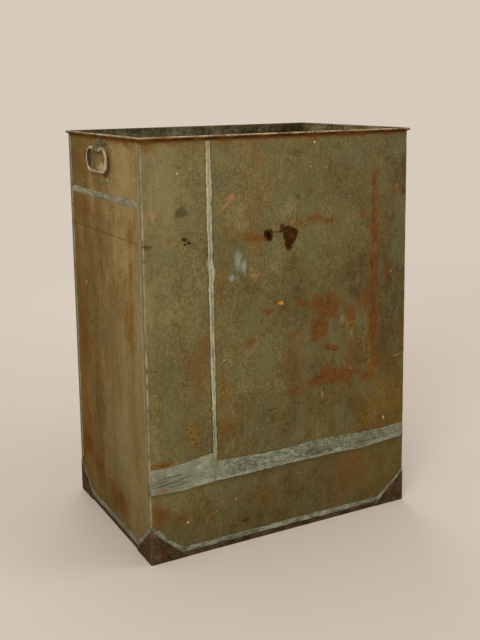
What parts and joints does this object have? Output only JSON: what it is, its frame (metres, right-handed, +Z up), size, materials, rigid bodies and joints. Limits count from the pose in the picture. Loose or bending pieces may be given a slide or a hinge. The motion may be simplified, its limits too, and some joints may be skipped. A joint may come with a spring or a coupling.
{
  "type": "steamer trunk",
  "caption": "Tall open-topped sheet-metal trunk body with a wired rolled rim, soldered seams, corner caps and a hinged drop ring handle on each end.",
  "frame": {"origin": "middle of the flat underside of the base pan", "axes": "+X along the front to the right, +Y from the front to the back, +Z up"},
  "size_m": [0.574, 0.3836, 0.75],
  "materials": {
    "olive_paint": "worn olive-brown paint with rust bloom",
    "brown_paint": "worn yellow-brown paint with rust streaks",
    "pale_band": "mottled grey-green, dull",
    "solder": "dull grey solder, uneven",
    "bare_steel": "dark rusted bare steel",
    "worn_wire": "rubbed bare wire, rusty in the recesses"
  },
  "bodies": {
    "trunk": {"base_pan": "bare_steel", "front_base_sheet": "olive_paint", "front_main_sheet": "olive_paint", "front_strip_sheet": "olive_paint", "back_base_sheet": "olive_paint", "back_main_sheet": "olive_paint", "back_strip_sheet": "olive_paint", "left_top_sheet": "brown_paint", "left_middle_sheet": "brown_paint", "left_lower_sheet": "brown_paint", "right_top_sheet": "brown_paint", "right_middle_sheet": "brown_paint", "right_lower_sheet": "brown_paint", "front_short_band": "pale_band", "front_long_band": "pale_band", "back_short_band": "pale_band", "back_long_band": "pale_band", "front_seam_solder": "solder", "back_seam_solder": "solder", "left_band_solder": "solder", "right_band_solder": "solder", "flange_fillet_front_left": "solder", "flange_fillet_front_right": "solder", "flange_fillet_back_right": "solder", "flange_fillet_back_left": "solder", "base_solder_front": "solder", "base_solder_right": "solder", "base_solder_back": "solder", "base_solder_left": "solder", "cap_solder_front_left": "solder", "cap_solder_front_right": "solder", "cap_solder_back_right": "solder", "cap_solder_back_left": "solder", "corner_cap_front_left": "bare_steel", "corner_cap_front_right": "bare_steel", "corner_cap_back_right": "bare_steel", "corner_cap_back_left": "bare_steel", "rim_wire": "bare_steel", "left_handle_plate": "brown_paint", "left_handle_strap": "pale_band", "right_handle_plate": "brown_paint", "right_handle_strap": "pale_band"},
    "left_handle": {"left_handle_ring": "worn_wire"},
    "right_handle": {"right_handle_ring": "worn_wire"}
  },
  "joints": [
    {"name": "left_handle_hinge", "type": "hinge", "parent": "trunk", "child": "left_handle", "pos_m": [-0.2825, 0, 0.7206], "axis": [0, 1, 0], "range_deg": [-7, 180]},
    {"name": "right_handle_hinge", "type": "hinge", "parent": "trunk", "child": "right_handle", "pos_m": [0.2825, 0, 0.7206], "axis": [0, -1, 0], "range_deg": [-7, 180]}
  ]
}
